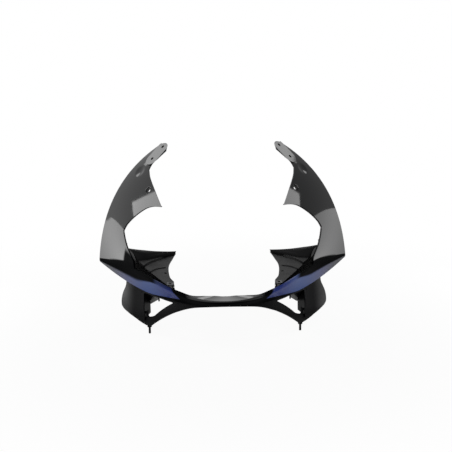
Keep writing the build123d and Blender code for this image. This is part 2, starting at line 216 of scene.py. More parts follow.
class Outline:
    """Smooth or straight line through places, read by its share of the length."""

    def __init__(self, *spots: Sequence[float], straight: bool = False) -> None:
        """Keeps the places and how far along the line each one is.

        Args:
            spots: The places, as (along, across) on a skin or as points in space.
            straight: Whether the line runs straight from place to place.
        """
        self.spots = [Vector(spot) for spot in spots]
        self.straight = straight
        self.stops = [0.0]
        for first, second in zip(self.spots, self.spots[1:]):
            self.stops.append(self.stops[-1] + (second - first).length)
        self.stops = [stop / self.stops[-1] for stop in self.stops]

    def _slope(self, index: int) -> Vector:
        """Slope of the smooth line at one of its places."""
        first, last = max(index - 1, 0), min(index + 1, len(self.spots) - 1)
        return (self.spots[last] - self.spots[first]) / (self.stops[last] - self.stops[first])

    def at(self, share: float) -> Vector:
        """Place at a share of the line's length.

        Args:
            share: Share from 0 to 1.

        Returns:
            The place.
        """
        share = min(max(share, 0.0), 1.0)
        index = 0
        while index < len(self.stops) - 2 and self.stops[index + 1] < share:
            index += 1
        length = self.stops[index + 1] - self.stops[index]
        part = (share - self.stops[index]) / length
        first, second = self.spots[index], self.spots[index + 1]
        if self.straight:
            return first.lerp(second, part)
        start, end = self._slope(index) * length, self._slope(index + 1) * length
        return (
            first * (2 * part**3 - 3 * part**2 + 1)
            + start * (part**3 - 2 * part**2 + part)
            + second * (3 * part**2 - 2 * part**3)
            + end * (part**3 - part**2)
        )

    def across_at(self, along: float) -> float:
        """Across value where the line, which only moves outwards, passes an along value.

        Args:
            along: The along value to meet.

        Returns:
            The across value there.
        """
        low, high = 0.0, 1.0
        for _ in range(40):
            middle = (low + high) / 2
            low, high = (middle, high) if self.at(middle).x < along else (low, middle)
        return self.at(low).y


def chain(*lines: tuple[Outline, float]) -> Line:
    """Several lines read as one, each given with the share of the whole at which it ends.

    Args:
        lines: Pairs of a line and the share at its end, in order.

    Returns:
        A function from a share to a place.
    """

    def read(share: float) -> Vector:
        """Place at a share of the whole."""
        start = 0.0
        for line, end in lines:
            if share <= end or end >= 1.0:
                return line.at((share - start) / (end - start))
            start = end
        return lines[-1][0].at(1.0)

    return read


def coons(bottom: Line, top: Line, left: Line, right: Line) -> Surface:
    """Map of the unit square onto a patch between four lines.

    Args:
        bottom: Line from the left to the right at the bottom.
        top: The same at the top.
        left: Line from the bottom to the top at the left.
        right: The same at the right.

    Returns:
        A function from two shares to a place.
    """

    def place(s: float, t: float) -> Vector:
        """Place at two shares."""
        ruled = bottom(s) * (1 - t) + top(s) * t + left(t) * (1 - s) + right(t) * s
        corners = (bottom(0) * (1 - s) + bottom(1) * s) * (1 - t) + (top(0) * (1 - s) + top(1) * s) * t
        return ruled - corners

    return place


class Bench:
    """Modelling moves, each made with nothing but its own piece selected."""

    @staticmethod
    def pick(*pieces: bpy.types.Object) -> None:
        """Selects only these pieces and makes the first one active.

        Args:
            pieces: The pieces to select.
        """
        bpy.ops.object.select_all(action="DESELECT")
        for piece in pieces:
            piece.select_set(True)
        bpy.context.view_layer.objects.active = pieces[0]

    @staticmethod
    def added(name: str) -> bpy.types.Object:
        """The primitive that was just added, under a new name.

        Args:
            name: The new name of the piece and its mesh.

        Returns:
            The piece.
        """
        piece = bpy.context.active_object
        piece.name = name
        piece.data.name = name
        return piece

    def grid(self, name: str, columns: int, rows: int, place: Surface,
             marks: Callable[[float, float], Spot] | None = None) -> bpy.types.Object:
        """Grid of faces laid over a surface.

        Args:
            name: The piece's name.
            columns: Faces along the first share.
            rows: Faces along the second share.
            place: Where each pair of shares goes.
            marks: The place on the piece's map of each pair of shares, if not the shares themselves.

        Returns:
            The new piece.
        """
        bpy.ops.object.select_all(action="DESELECT")
        bpy.ops.mesh.primitive_grid_add(x_subdivisions=columns, y_subdivisions=rows, size=1.0)
        piece = self.added(name)
        shares = [(vertex.co.x + 0.5, vertex.co.y + 0.5) for vertex in piece.data.vertices]
        for vertex, share in zip(piece.data.vertices, shares):
            vertex.co = place(*share)
        if marks is not None:
            layer = piece.data.uv_layers.active.data
            for loop in piece.data.loops:
                layer[loop.index].uv = marks(*shares[loop.vertex_index])
        return piece

    def cylinder(self, name: str, radius: float, depth: float, place: Matrix,
                 sides: int = 48) -> bpy.types.Object:
        """Cylinder centred on a place, along its z axis.

        Args:
            name: The piece's name.
            radius: Its radius.
            depth: Its length.
            place: Its middle and turn.
            sides: Faces round it.

        Returns:
            The new piece.
        """
        bpy.ops.object.select_all(action="DESELECT")
        bpy.ops.mesh.primitive_cylinder_add(vertices=sides, radius=radius, depth=depth)
        piece = self.added(name)
        piece.data.transform(place)
        return piece

    def block(self, name: str, size: Sequence[float], place: Matrix) -> bpy.types.Object:
        """Block of a size, centred on a place.

        Args:
            name: The piece's name.
            size: Its lengths along x, y and z.
            place: Its middle and turn.

        Returns:
            The new piece.
        """
        bpy.ops.object.select_all(action="DESELECT")
        bpy.ops.mesh.primitive_cube_add(size=1.0)
        piece = self.added(name)
        piece.data.transform(place @ Matrix.Diagonal((*size, 1.0)))
        return piece

    def join(self, name: str, *pieces: bpy.types.Object) -> bpy.types.Object:
        """Joins pieces into one under a name.

        Args:
            name: The name of the whole.
            pieces: The pieces, of which the first one stays.

        Returns:
            The joined piece.
        """
        self.pick(*pieces)
        if len(pieces) > 1:
            bpy.ops.object.join()
        return self.added(name)

    def twin(self, piece: bpy.types.Object, name: str) -> bpy.types.Object:
        """Mirror image of a piece across the centre plane, with a mesh of its own.

        Args:
            piece: The piece to copy.
            name: The copy's name.

        Returns:
            The new piece.
        """
        other = piece.copy()
        other.data = piece.data.copy()
        other.name = name
        other.data.name = name
        bpy.context.scene.collection.objects.link(other)
        other.data.transform(Matrix.Scale(-1.0, 4, (1.0, 0.0, 0.0)))
        other.data.flip_normals()
        return other

    def mark(self, piece: bpy.types.Object, spot: Spot) -> None:
        """Puts a whole piece at one place on its map.

        Args:
            piece: The piece.
            spot: Its place on the map.
        """
        layers = piece.data.uv_layers
        layer = layers.active or layers.new(name="UVMap")
        for corner in layer.data:
            corner.uv = spot

    def edit(self, piece: bpy.types.Object, *moves: Callable[[], Any]) -> None:
        """Makes moves in edit mode on the whole of a piece.

        Args:
            piece: The piece.
            moves: The moves, in order.
        """
        self.pick(piece)
        bpy.ops.object.mode_set(mode="EDIT")
        bpy.ops.mesh.select_all(action="SELECT")
        for move in moves:
            move()
        bpy.ops.object.mode_set(mode="OBJECT")

    def weld(self, piece: bpy.types.Object, distance: float = 0.00002) -> None:
        """Merges points that lie on each other and turns the faces one way."""
        self.edit(
            piece, lambda: bpy.ops.mesh.remove_doubles(threshold=distance),
            lambda: bpy.ops.mesh.normals_make_consistent(inside=False))

    def face(self, piece: bpy.types.Object, way: Vector) -> None:
        """Turns an open skin so that its faces point mostly one way.

        Args:
            piece: The skin.
            way: The direction that most of its faces get.
        """
        facing = sum((face.normal.dot(way) * face.area for face in piece.data.polygons), 0.0)
        if facing < 0.0:
            self.edit(piece, bpy.ops.mesh.flip_normals)

    def shape(self, piece: bpy.types.Object, kind: str, **settings: Any) -> None:
        """Adds a modifier and applies it.

        Args:
            piece: The piece.
            kind: The modifier's type.
            settings: The modifier's settings.
        """
        self.pick(piece)
        modifier = piece.modifiers.new(kind.title(), kind)
        for name, value in settings.items():
            setattr(modifier, name, value)
        bpy.ops.object.modifier_apply(modifier=modifier.name)

    def wall(self, piece: bpy.types.Object, thickness: float, outward: bool, even: bool = True) -> None:
        """Gives a skin its wall, on its outer or its inner side.

        Args:
            piece: The skin.
            thickness: The wall's thickness.
            outward: Whether the wall lies outside the skin.
            even: Whether corners keep the full thickness.
        """
        offset = 1.0 if outward else -1.0
        self.shape(piece, "SOLIDIFY", thickness=thickness, offset=offset, use_even_offset=even)

    def mirrored(self, piece: bpy.types.Object, seam: float = 0.0001) -> None:
        """Adds the other half across the centre plane, with points nearer than the seam merged."""
        self.shape(piece, "MIRROR", use_axis=(True, False, False), use_clip=True, merge_threshold=seam)

    def rims(self, piece: bpy.types.Object, width: float, segments: int = 2, angle: float = 50.0) -> None:
        """Rounds the sharp edges.

        Args:
            piece: The piece.
            width: The rounding's width.
            segments: Faces across the rounding.
            angle: Degrees from which an edge is sharp.
        """
        self.shape(piece, "BEVEL", width=width, segments=segments, limit_method="ANGLE",
                   angle_limit=math.radians(angle), use_clamp_overlap=True, miter_outer="MITER_ARC")

    def cut(self, piece: bpy.types.Object, *cutters: bpy.types.Object) -> None:
        """Cuts pieces out of a piece and removes them.

        Args:
            piece: The piece.
            cutters: The pieces to cut out.
        """
        for cutter in cutters:
            self.shape(piece, "BOOLEAN", operation="DIFFERENCE", object=cutter, solver="MANIFOLD")
            bpy.data.objects.remove(cutter)

    def smooth(self, piece: bpy.types.Object, angle: float = 35.0) -> None:
        """Shades a piece smooth, up to an angle between its faces, with its large faces kept flat.

        Args:
            piece: The piece.
            angle: Degrees up to which an edge is smooth.
        """
        self.pick(piece)
        bpy.ops.object.shade_smooth_by_angle(angle=math.radians(angle))
        self.shape(piece, "WEIGHTED_NORMAL", keep_sharp=True)


BENCH = Bench()


def plane_at(origin: Vector, normal: Vector, run: Vector) -> Matrix:
    """Place with its z axis along a normal and its x axis along a run.

    Args:
        origin: The place's origin.
        normal: Direction of z.
        run: Direction of x, brought square to z.

    Returns:
        The place as a matrix.
    """
    z = normal.normalized()
    x = (run - z * run.dot(z)).normalized()
    turn = Matrix((x, z.cross(x), z)).transposed().to_4x4()
    return Matrix.Translation(origin) @ turn


def shifted(plane: Matrix, x: float, y: float, z: float) -> Matrix:
    """Place moved along its own axes."""
    return plane @ Matrix.Translation((x, y, z))


def fixing(place: Spot, standoff: float) -> Matrix:
    """Place at a post's end behind the painted skin, with x level and z inwards."""
    inward = -COWL_SKIN.normal(*place)
    return plane_at(COWL_SKIN.point(*place) + inward * standoff, inward, UP.cross(inward))


@dataclass(frozen=True)
class Screws:
    """Sizes shared by the posts and the lugs of the small screws."""

    hole: float = 4.2 * MM
    post: float = 9.0 * MM
    post_root: float = 1.2 * MM
    lug_width: float = 14.0 * MM
    lug_wall: float = 2.5 * MM
    post_rim: float = 0.4 * MM
    lug_rim: float = 0.5 * MM
    panel_standoff: float = 14.0 * MM
    lower_standoff: float = 4.0 * MM
    panel_place: Spot = (0.845, 0.15)
    lower_places: tuple[Spot, ...] = ((0.46, -1.5), (0.68, -1.5))

    def post_at(self, place: Spot, standoff: float) -> bpy.types.Object:
        """Moulded post behind the painted skin, with its blind hole.

        Args:
            place: Where it stands on the skin.
            standoff: How far its end is from the skin.

        Returns:
            The new piece.
        """
        plane = fixing(place, standoff)
        length = standoff + self.post_root
        post = BENCH.cylinder("post", self.post / 2, length, shifted(plane, 0, 0, -length / 2), sides=36)
        BENCH.cut(post, BENCH.cylinder("post_drill", self.hole / 2, 2 * standoff, plane, sides=24))
        BENCH.rims(post, self.post_rim)
        return post

    def lug_at(self, plane: Matrix, below: float, above: float) -> bpy.types.Object:
        """Flat lug on a post's end, from below to above the screw.

        Args:
            plane: Place of the screw on the post's end.
            below: Length below the screw.
            above: Length above it.

        Returns:
            The new piece.
        """
        middle = shifted(plane, 0, (above - below) / 2, self.lug_wall / 2)
        lug = BENCH.block("lug", (self.lug_width, below + above, self.lug_wall), middle)
        BENCH.cut(lug, BENCH.cylinder("lug_drill", self.hole / 2, 8 * self.lug_wall, plane, sides=24))
        BENCH.rims(lug, self.lug_rim)
        return lug


SCREWS = Screws()


class Signal:
    """A varying number in a shader, with the operators that the finishes use."""

    def __init__(self, board: "Board", socket: bpy.types.NodeSocket) -> None:
        """Wraps an output socket of a board."""
        self.board = board
        self.socket = socket

    def _math(self, operation: str, first: Any, second: Any) -> "Signal":
        """Math node on two values or links."""
        return self.board.signal("ShaderNodeMath", {"operation": operation}, {0: first, 1: second})

    def __add__(self, other: Any) -> "Signal":
        """Sum."""
        return self._math("ADD", self, other)

    def __sub__(self, other: Any) -> "Signal":
        """Difference."""
        return self._math("SUBTRACT", self, other)

    def __rsub__(self, other: Any) -> "Signal":
        """Difference from a number."""
        return self._math("SUBTRACT", other, self)

    def __mul__(self, other: Any) -> "Signal":
        """Product."""
        return self._math("MULTIPLY", self, other)

    __radd__ = __add__
    __rmul__ = __mul__

    def most(self, other: Any) -> "Signal":
        """The larger of two values."""
        return self._math("MAXIMUM", self, other)

    def step(self, low: float, high: float) -> "Signal":
        """Smooth step from 0 at low to 1 at high."""
        return self.board.signal(
            "ShaderNodeMapRange", {"interpolation_type": "SMOOTHSTEP"},
            {"Value": self, "From Min": low, "From Max": high, "To Min": 0.0, "To Max": 1.0})


class Board:
    """Node tree of one material or world."""

    def __init__(self, tree: bpy.types.NodeTree) -> None:
        """Empties the tree."""
        self.tree = tree
        self.tree.nodes.clear()

    def node(self, kind: str, settings: dict[str, Any] | None = None,
             sockets: dict[str | int, Any] | None = None) -> bpy.types.Node:
        """Adds a node.

        Args:
            kind: The node's type.
            settings: Its own settings.
            sockets: Values or links of its inputs, by name or number.

        Returns:
            The new node.
        """
        node = self.tree.nodes.new(kind)
        for name, value in (settings or {}).items():
            setattr(node, name, value)
        for name, value in (sockets or {}).items():
            if isinstance(value, Signal):
                self.tree.links.new(value.socket, node.inputs[name])
            else:
                node.inputs[name].default_value = value
        return node

    def signal(self, kind: str, settings: dict[str, Any] | None = None,
               sockets: dict[str | int, Any] | None = None, output: str | int = 0) -> Signal:
        """Adds a node and reads one of its outputs."""
        return Signal(self, self.node(kind, settings, sockets).outputs[output])

    def place(self, kind: str = "Object") -> Signal:
        """Place on the object, or another of its coordinates."""
        return self.signal("ShaderNodeTexCoord", output=kind)

    def axis(self, vector: Signal, name: str) -> Signal:
        """One coordinate of a vector."""
        return self.signal("ShaderNodeSeparateXYZ", None, {0: vector}, name)

    def noise(self, scale: float, detail: float, roughness: float = 0.55) -> Signal:
        """Noise over the object, with its scale in cycles per metre."""
        return self.signal("ShaderNodeTexNoise", None, {
            "Vector": self.place(), "Scale": scale, "Detail": detail, "Roughness": roughness}, "Fac")

    def blend(self, share: Any, first: Any, second: Any) -> Signal:
        """Colour between two colours."""
        return self.signal("ShaderNodeMix", {"data_type": "RGBA"}, {0: share, 6: first, 7: second}, 2)

    def bump(self, height: Signal, distance: float, strength: float) -> Signal:
        """Normal over a height, with the distance in metres."""
        return self.signal("ShaderNodeBump", None, {
            "Height": height, "Distance": distance, "Strength": strength})

    def principled(self, **sockets: Any) -> Signal:
        """Principled surface, with its inputs by name and underscores for spaces."""
        named = {name.replace("_", " "): value for name, value in sockets.items()}
        return self.signal("ShaderNodeBsdfPrincipled", None, named)

    def mix(self, share: Signal, first: Signal, second: Signal) -> Signal:
        """Surface between two surfaces."""
        return self.signal("ShaderNodeMixShader", None, {0: share, 1: first, 2: second})

    def finish(self, surface: Signal, kind: str = "ShaderNodeOutputMaterial") -> None:
        """Ends the board in a surface."""
        self.node(kind, None, {"Surface": surface})


def material(name: str) -> tuple[bpy.types.Material, Board]:
    """New material with an empty board.

    Args:
        name: The material's name.

    Returns:
        The material and its board.
    """
    made = bpy.data.materials.new(name)
    made.use_nodes = True
    return made, Board(made.node_tree)


def scaled(colour: Colour, factor: float) -> Colour:
    """Colour made lighter or darker."""
    return (colour[0] * factor, colour[1] * factor, colour[2] * factor, 1.0)


@dataclass(frozen=True)
class SpearPaint:
    """Gloss black paint with a blue field on the spears, and painted shade in the hollow under the arms: a
    dull, darker paint with almost no reflection, which stands in for dark reflections there.

    The map's x is the skin's along value, and its y is the across value brought to 0 to 1. An edge or a
    fade is the pair of values between which a mask goes from 0 to 1. The right side's shifts follow the
    photograph, where the two sides differ.
    """

    black: Colour = (0.0035, 0.0038, 0.0045, 1.0)
    blue: Colour = (0.018, 0.034, 0.190, 1.0)
    fades: tuple[tuple[Colour, Spot], ...] = (
        ((0.050, 0.090, 0.270, 1.0), (0.4, 0.6)),
        ((0.118, 0.122, 0.205, 1.0), (0.6, 0.86)),
        ((0.105, 0.108, 0.120, 1.0), (0.8, 0.93)),
    )
    gloss: float = 0.06
    gloss_dust: float = 0.03
    gloss_specular: float = 0.5
    sheen: float = 0.22
    sheen_dust: float = 0.04
    sheen_specular: float = 0.1
    # Painted shade: roughness, dust, reflection and darkening of the dull coat, which stands in for dark
    # reflections under the arms and along the crease
    painted_shade_roughness: float = 0.3
    painted_shade_dust: float = 0.05
    painted_shade_specular: float = 0.004
    painted_shade_darkening: float = 0.6
    dust_scale: float = 95.0
    dust_edge: Spot = (0.45, 0.85)
    peel_scale: float = 420.0
    peel_depth: float = 0.00003
    middle_edge: Spot = (-0.01, 0.01)
    nose_edge: Spot = (0.37, 0.386)
    nose_lean: float = 0.025
    crest_edge: Spot = (-1.4, -1.0)
    crest_fall: Spot = (0.48, 0.72)
    crest_rise: float = 1.25
    foot_edge: Spot = (-2.12, -2.0)
    foot_end: float = 0.62
    foot_rise: float = 2.4
    back_edge: Spot = (0.0, 0.2)
    jamb_edge: Spot = (0.798, 0.814)
    jamb_lean: float = 0.205
    arm_edge: Spot = (0.407, 0.424)
    arm_lean: float = 0.45
    corner_edge: Spot = (4.14, 4.22)
    corner_lean: float = 4.55
    crown_edge: Spot = (0.16, 0.22)
    ledge_edge: Spot = (-0.6, -0.35)
    ledge_end: Spot = (0.22, 0.28)
    right_nose: float = 0.04
    right_crest: float = 0.3
    right_jamb: float = 0.12

    def field(self, board: Board, along: Signal, across: Signal, right: Signal) -> Signal:
        """Mask of the blue field, on the outer face of the spears.

        Args:
            board: The material's board.
            along: The skin's along value.
            across: The skin's across value.
            right: One on the right side.

        Returns:
            The mask.
        """
        crest = (1 - along.step(*self.crest_fall)) * self.crest_rise + right * self.right_crest
        foot = (self.foot_end - along).most(0.0) * self.foot_rise
        nose = along - across * self.nose_lean + right * self.right_nose
        inside = board.axis(board.place("Normal"), "Y").step(*self.back_edge)
        return (
            (1 - inside) * (1 - (across - crest).step(*self.crest_edge))
            * (across - foot).step(*self.foot_edge) * nose.step(*self.nose_edge)
        )

    def shine(self, along: Signal, across: Signal, right: Signal) -> Signal:
        """Mask of the gloss on the arms and on the ledge. Its edges bound the soft boxes' highlights, and
        outside it lies the painted shade.

        Args:
            along: The skin's along value.
            across: The skin's across value.
            right: One on the right side.

        Returns:
            The mask.
        """
        jamb = along + across * self.jamb_lean + right * self.right_jamb
        arm = (across + along * self.arm_lean).step(*self.arm_edge)
        corner = (across + along * self.corner_lean).step(*self.corner_edge)
        ledge = across.step(*self.ledge_edge) * (1 - along.step(*self.ledge_end))
        foot = arm.most(corner) * jamb.step(*self.jamb_edge)
        return foot.most(ledge).most(across.step(*self.crown_edge))

    def make(self) -> bpy.types.Material:
        """Material of the painted cowl.

        Returns:
            The material.
        """
        made, board = material("spear_paint")
        spot = board.signal("ShaderNodeUVMap", {"uv_map": "UVMap"})
        along = board.axis(spot, "X")
        across = board.axis(spot, "Y") * len(COWL_SKIN.groups) + COWL_SKIN.start
        right = board.axis(board.place(), "X").step(*self.middle_edge)
        dust = board.noise(self.dust_scale, 4.0).step(*self.dust_edge)
        peel = board.bump(board.noise(self.peel_scale, 2.0), self.peel_depth, 0.3)
        blue: Any = self.blue
        for colour, fade in self.fades:
            blue = board.blend(along.step(*fade), blue, colour)

        def coat(colour: Any, roughness: float, dusting: float, specular: float) -> Signal:
            """Paint of one colour, rougher where dust lies."""
            return board.principled(
                Base_Color=colour, Roughness=roughness + dust * dusting, Normal=peel,
                Specular_IOR_Level=specular)

        deep = coat(self.black, self.gloss, self.gloss_dust, self.gloss_specular)
        # Painted shade: a dull, darker coat with almost no reflection where the hollow and the crease look
        # dark
        flat = coat(scaled(self.black, self.painted_shade_darkening), self.painted_shade_roughness, self.painted_shade_dust, self.painted_shade_specular)
        tint = coat(blue, self.sheen, self.sheen_dust, self.sheen_specular)
        # Gloss where the mask is one, painted shade elsewhere
        body = board.mix(self.shine(along, across, right), flat, deep)
        board.finish(board.mix(self.field(board, along, across, right), body, tint))
        return made


@dataclass(frozen=True)
class MouldedBlack:
    """Black moulded plastic with a fine grain, and with a coat that comes in towards the outer sides as a
    painted highlight, standing in for the sheen at the cheeks' outer edges.
    """

    name: str
    colour: Colour
    roughness: float
    specular: float
    grain: float
    depth: float
    painted_highlight_coat: float = 0.0
    painted_highlight_edge: Spot = (0.18, 0.212)
    coat_roughness: float = 0.3
    tone_scale: float = 38.0
    tone_edge: Spot = (0.3, 0.8)
    tone_share: float = 0.5
    tone_lift: float = 1.5
    tone_roughness: float = 0.07

    def make(self) -> bpy.types.Material:
        """Material of a moulded piece.

        Returns:
            The material.
        """
        made, board = material(self.name)
        tone = board.noise(self.tone_scale, 4.0).step(*self.tone_edge)
        pores = board.noise(self.grain, 3.0, 0.6)
        x = board.axis(board.place(), "X")
        # Painted highlight: a coat only on the outer sides, standing in for the sheen at the cheeks' outer
        # edges
        side = (x * x).step(self.painted_highlight_edge[0]**2, self.painted_highlight_edge[1]**2)
        board.finish(board.principled(
            Base_Color=board.blend(tone * self.tone_share, self.colour, scaled(self.colour, self.tone_lift)),
            Roughness=self.roughness + tone * self.tone_roughness,
            Normal=board.bump(pores, self.depth, 0.5),
            Specular_IOR_Level=self.specular,
            Coat_Weight=side * self.painted_highlight_coat, Coat_Roughness=self.coat_roughness))
        return made


@dataclass(frozen=True)
class BareMetal:
    """Coated steel of the small fixings."""

    name: str
    colour: Colour
    roughness: float
    metallic: float = 0.9
    stain_scale: float = 260.0
    stain_edge: Spot = (0.35, 0.75)
    stain_shade: float = 0.55
    stain_roughness: float = 0.15
    pit_scale: float = 1800.0
    pit_depth: float = 0.00002

    def make(self) -> bpy.types.Material:
        """Material of a fixing.

        Returns:
            The material.
        """
        made, board = material(self.name)
        stain = board.noise(self.stain_scale, 4.0).step(*self.stain_edge)
        pits = board.noise(self.pit_scale, 2.0)
        board.finish(board.principled(
            Base_Color=board.blend(stain, self.colour, scaled(self.colour, self.stain_shade)),
            Metallic=self.metallic, Roughness=self.roughness + stain * self.stain_roughness,
            Normal=board.bump(pits, self.pit_depth, 0.4)))
        return made


class Slot(Enum):
    """Material slots of the record for the new pieces, passed to dress, which does not use them."""

    PAINT = "painted_cowl"
    SATIN = "satin_black"
    MATTE = "matte_black"


def dress(piece: bpy.types.Object, finish: bpy.types.Material, slot: Slot, *nodes: str) -> None:
    """Puts a finish on a piece and fixes it to the part.

    Args:
        piece: The finished piece.
        finish: Its material.
        slot: The record's slot; not used.
        nodes: The nodes that the piece stands for.
    """
    piece.data.materials.clear()
    piece.data.materials.append(finish)
    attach(piece, "root")
    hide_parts(*nodes)
    LOG.info("%s: %d faces", piece.name, len(piece.data.polygons))


@dataclass
class UpperCowl:
    """Painted moulding: spears, rolled crease, ledge, arms, horns, mirror pads and screen bosses."""

    wall: float = 2.5 * MM
    rim: float = 0.7 * MM
    columns: int = 170
    horn_columns: int = 30
    spear_rows: int = 24
    sill_rows: int = 7
    arm_rows: int = 96
    pad_rows: int = 22
    jamb_along: float = 0.7
    jamb_share: float = 0.42
    shoulder_end: Spot = (1.0, 0.775)
    gloss_mark: Spot = (0.9, 0.95)
    # Place on the paint's map in the painted shade, where the paint is dull and darker
    painted_shade_mark: Spot = (0.3, 0.45)
    pad_place: Spot = (0.925, 0.858)
    pad_lean: Spot = (0.009, 0.045)
    pad_length: float = 66.0 * MM
    pad_width: float = 34.0 * MM
    pad_depth: float = 5.0 * MM
    pad_proud: float = 1.2 * MM
    bolt_spacing: float = 34.0 * MM
    bolt_hole: float = 7.0 * MM
    screen_place: Spot = (0.786, 0.685)
    screen_boss: float = 19.0 * MM
    screen_recess: float = 13.0 * MM
    screen_recess_depth: float = 2.0 * MM
    screen_boss_depth: float = 6.0 * MM
    screen_hole: float = 7.0 * MM
    screen_drill_room: float = 0.6 * MM
    flange_depth: float = 8.0 * MM
    flange_wall: float = 2.0 * MM
    flange_lift: float = 0.8 * MM
    flange_slant: float = 0.3
    flange_rim: float = 0.4 * MM
    flange_grid: tuple[int, int] = (28, 4)
    prism_margins: tuple[float, float, float] = (26.0 * MM, 52.0 * MM, 60.0 * MM)
    prism_reach: float = 0.5
    dish_place: Spot = (0.925, 0.695)
    dish_width: float = 26.0 * MM
    dish_depth: float = 2.2 * MM

    def __post_init__(self) -> None:
        """Draws the lines round the window and places the finger dish."""
        self.sill = Outline(
            (0, 0.56), (0.07, 0.48), (0.14, 0.29), (0.23, 0.09), (0.32, 0.1), (0.54, 0.07), (0.7, 0.05))
        self.jamb = Outline((0.7, 0.05), (0.7, 0.14), (0.757, 0.219), (0.812, 0.31))
        self.brow = Outline((0.812, 0.31), (0.799, 0.381), (0.734, 0.591), (0.704, 0.654), (0.661, 0.715))
        self.screen = Outline((0.661, 0.715), (0.735, 0.722), (0.835, 0.735), (0.879, 0.753))
        self.pad_edge = Outline((0.879, 0.753), (0.892, 0.788), (0.891, 0.843), (0.893, 0.903))
        self.tip = Outline((0.893, 0.903), (0.941, 0.938), (1, 0.93))
        self.dish_middle = COWL_SKIN.point(*self.dish_place)
        self.dish_axis = COWL_SKIN.normal(*self.dish_place)

    @staticmethod
    def map_mark(spot: Vector) -> Spot:
        """Place on the paint's map, with the skin's height from 0 to 1."""
        return (spot.x, (spot.y - COWL_SKIN.start) / len(COWL_SKIN.groups))

    def surface(self, spot: Vector) -> Vector:
        """Point of the skin, pushed in at the finger dish.

        Args:
            spot: Its place on the skin, as (along, across).

        Returns:
            The point.
        """
        point = COWL_SKIN.point(*spot)
        gap = 2 * (point - self.dish_middle).length / self.dish_width
        return point - self.dish_axis * (self.dish_depth * max(1 - gap**2, 0.0))

    def patch(self, name: str, columns: int, rows: int, spot: Surface) -> bpy.types.Object:
        """Patch of the skin over a map of places."""
        return BENCH.grid(
            name, columns, rows, lambda s, t: self.surface(spot(s, t)),
            lambda s, t: self.map_mark(spot(s, t)))

    def skin(self) -> bpy.types.Object:
        """Right half of the skin, in four patches.

        Returns:
            The new piece.
        """
        beside = round(self.columns * self.jamb_along)
        arm_columns = self.columns - beside
        foot = self.sill_rows / (self.sill_rows + self.arm_rows)
        spear = self.patch("spear", self.columns, self.spear_rows, lambda s, t: Vector((
            s, COWL_SKIN.start * (1 - t))))
        sill = self.patch("sill", beside, self.sill_rows, lambda s, t: Vector((
            s * self.jamb_along, t * self.sill.across_at(s * self.jamb_along))))

        def straight(*spots: Sequence[float]) -> Outline:
            """Straight line from place to place."""
            return Outline(*spots, straight=True)

        shoulder = straight(self.screen.spots[-1], self.shoulder_end)
        post = straight((self.jamb_along, 0.0), self.jamb.spots[0])
        arm = self.patch("arm", arm_columns, self.sill_rows + self.arm_rows, coons(
            straight((self.jamb_along, 0.0), (1.0, 0.0)).at,
            chain((self.screen, self.horn_columns / arm_columns), (shoulder, 1.0)),
            chain((post, foot), (self.jamb, foot + self.jamb_share * (1 - foot)), (self.brow, 1.0)),
            straight((1.0, 0.0), self.shoulder_end).at))
        pad = self.patch("pad", arm_columns - self.horn_columns, self.pad_rows, coons(
            shoulder.at, self.tip.at, self.pad_edge.at, straight(self.shoulder_end, self.tip.spots[-1]).at))
        skin = BENCH.join("upper_cowl_shell", spear, sill, arm, pad)
        BENCH.weld(skin)
        BENCH.face(skin, SIGHT_AXIS)
        return skin

    def flange(self) -> bpy.types.Object:
        """Return flange behind the outer end of the window.

        Returns:
            The new piece.
        """

        def band(line: Outline) -> Surface:
            """Band that runs back from a line of the window."""

            def place(s: float, t: float) -> Vector:
                """Point of the band, deeper where the skin slants away."""
                spot = line.at(s)
                run = self.flange_depth / max(COWL_SKIN.normal(*spot).dot(SIGHT_AXIS), self.flange_slant)
                return COWL_SKIN.point(*spot) + SIGHT_AXIS * (self.flange_lift - run * t)

            return place

        bands = [BENCH.grid("band", *self.flange_grid, band(line)) for line in (self.jamb, self.brow)]
        flange = BENCH.join("flange", *bands)
        BENCH.weld(flange)
        BENCH.face(flange, Vector((1.0, 0.0, 1.0)))
        BENCH.wall(flange, self.flange_wall, outward=True)
        BENCH.rims(flange, self.flange_rim)
        # The flange takes the painted shade, dark like the shade behind the window's edge
        BENCH.mark(flange, self.painted_shade_mark)
        return flange

    def pad_plane(self) -> Matrix:
        """Place of the flat mirror pad, with x along the line of its bolts.

        Returns:
            The place as a matrix.
        """
        along, across = self.pad_place
        aside, above = self.pad_lean
        normal = COWL_SKIN.normal(along, across)
        origin = COWL_SKIN.point(along, across) + normal * (self.wall + self.pad_proud)
        run = COWL_SKIN.point(along + aside, across + above) - COWL_SKIN.point(along - aside, across - above)
        return plane_at(origin, normal, run)

    def screen_plane(self) -> Matrix:
        """Place of the windscreen screw on the outer face."""
        normal = COWL_SKIN.normal(*self.screen_place)
        return plane_at(COWL_SKIN.point(*self.screen_place) + normal * self.wall, normal, UP)

    def mirror_pad(self) -> bpy.types.Object:
        """Flat pad with rounded ends, trimmed to the tip of the arm.

        Returns:
            The new piece.
        """
        pad = BENCH.cylinder("mirror_pad", self.pad_width / 2, self.pad_depth, Matrix.Identity(4), sides=64)
        reach = (self.pad_length - self.pad_width) / 2
        for vertex in pad.data.vertices:
            vertex.co.x += math.copysign(reach, vertex.co.x)
            vertex.co.z -= self.pad_depth / 2
        pad.data.transform(self.pad_plane())
        BENCH.cut(pad, self.window_prism(), *self.bolt_cutters())
        BENCH.rims(pad, self.rim)
        BENCH.mark(pad, self.gloss_mark)
        return pad

